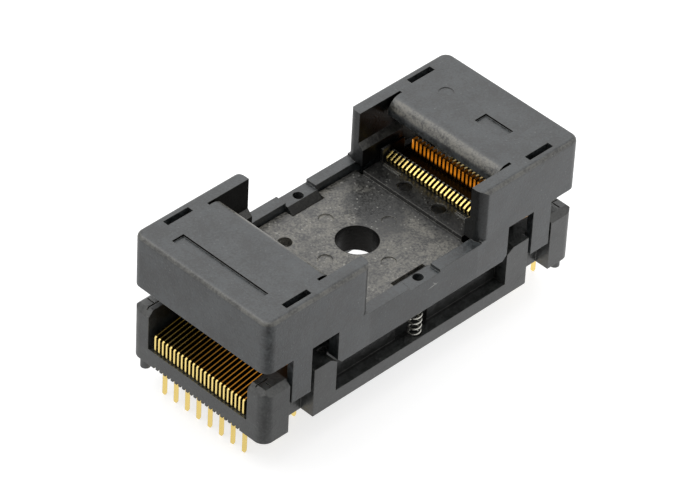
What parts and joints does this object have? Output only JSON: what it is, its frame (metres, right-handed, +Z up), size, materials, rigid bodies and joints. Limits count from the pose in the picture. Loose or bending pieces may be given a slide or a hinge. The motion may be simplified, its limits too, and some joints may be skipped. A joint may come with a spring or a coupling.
{
  "type": "integrated circuit socket",
  "caption": "Open-top test socket for a thin surface-mount package, with a press-down sprung cover, rows of stamped spring contacts at both ends and solder pins below.",
  "frame": {"origin": "middle of the socket's plan, at the level of the solder pins' tips", "axes": "+X along the socket from one row of contacts to the other, +Y across it, +Z up out of the open top"},
  "size_m": [0.04, 0.0174, 0.0178],
  "materials": {
    "housing_plastic": "moulded, lightly mottled",
    "cover_plastic": "moulded, lightly mottled",
    "seat_plastic": "moulded, coarse speckle",
    "contact_metal": "gold plated",
    "spring_steel": "bright drawn wire"
  },
  "bodies": {
    "socket": {"base_housing": "housing_plastic", "package_seat": "seat_plastic", "contact_comb_left": "housing_plastic", "contact_comb_right": "housing_plastic", "spring_front": "spring_steel", "spring_back": "spring_steel", "contact_left_01": "contact_metal", "contact_left_02": "contact_metal", "contact_left_03": "contact_metal", "contact_left_04": "contact_metal", "contact_left_05": "contact_metal", "contact_left_06": "contact_metal", "contact_left_07": "contact_metal", "contact_left_08": "contact_metal", "contact_left_09": "contact_metal", "contact_left_10": "contact_metal", "contact_left_11": "contact_metal", "contact_left_12": "contact_metal", "contact_left_13": "contact_metal", "contact_left_14": "contact_metal", "contact_left_15": "contact_metal", "contact_left_16": "contact_metal", "contact_left_17": "contact_metal", "contact_left_18": "contact_metal", "contact_left_19": "contact_metal", "contact_left_20": "contact_metal", "contact_left_21": "contact_metal", "contact_left_22": "contact_metal", "contact_left_23": "contact_metal", "contact_left_24": "contact_metal", "contact_right_01": "contact_metal", "contact_right_02": "contact_metal", "contact_right_03": "contact_metal", "contact_right_04": "contact_metal", "contact_right_05": "contact_metal", "contact_right_06": "contact_metal", "contact_right_07": "contact_metal", "contact_right_08": "contact_metal", "contact_right_09": "contact_metal", "contact_right_10": "contact_metal", "contact_right_11": "contact_metal", "contact_right_12": "contact_metal", "contact_right_13": "contact_metal", "contact_right_14": "contact_metal", "contact_right_15": "contact_metal", "contact_right_16": "contact_metal", "contact_right_17": "contact_metal", "contact_right_18": "contact_metal", "contact_right_19": "contact_metal", "contact_right_20": "contact_metal", "contact_right_21": "contact_metal", "contact_right_22": "contact_metal", "contact_right_23": "contact_metal", "contact_right_24": "contact_metal"},
    "slider": {"cover": "cover_plastic"}
  },
  "joints": [
    {"name": "cover_press", "type": "slide", "parent": "socket", "child": "slider", "axis": [0, 0, -1], "range_m": [0, 0.0022], "stiffness_N_per_m": 2500, "springref_m": -0.0004, "deforming": ["spring_front", "spring_back"]}
  ]
}
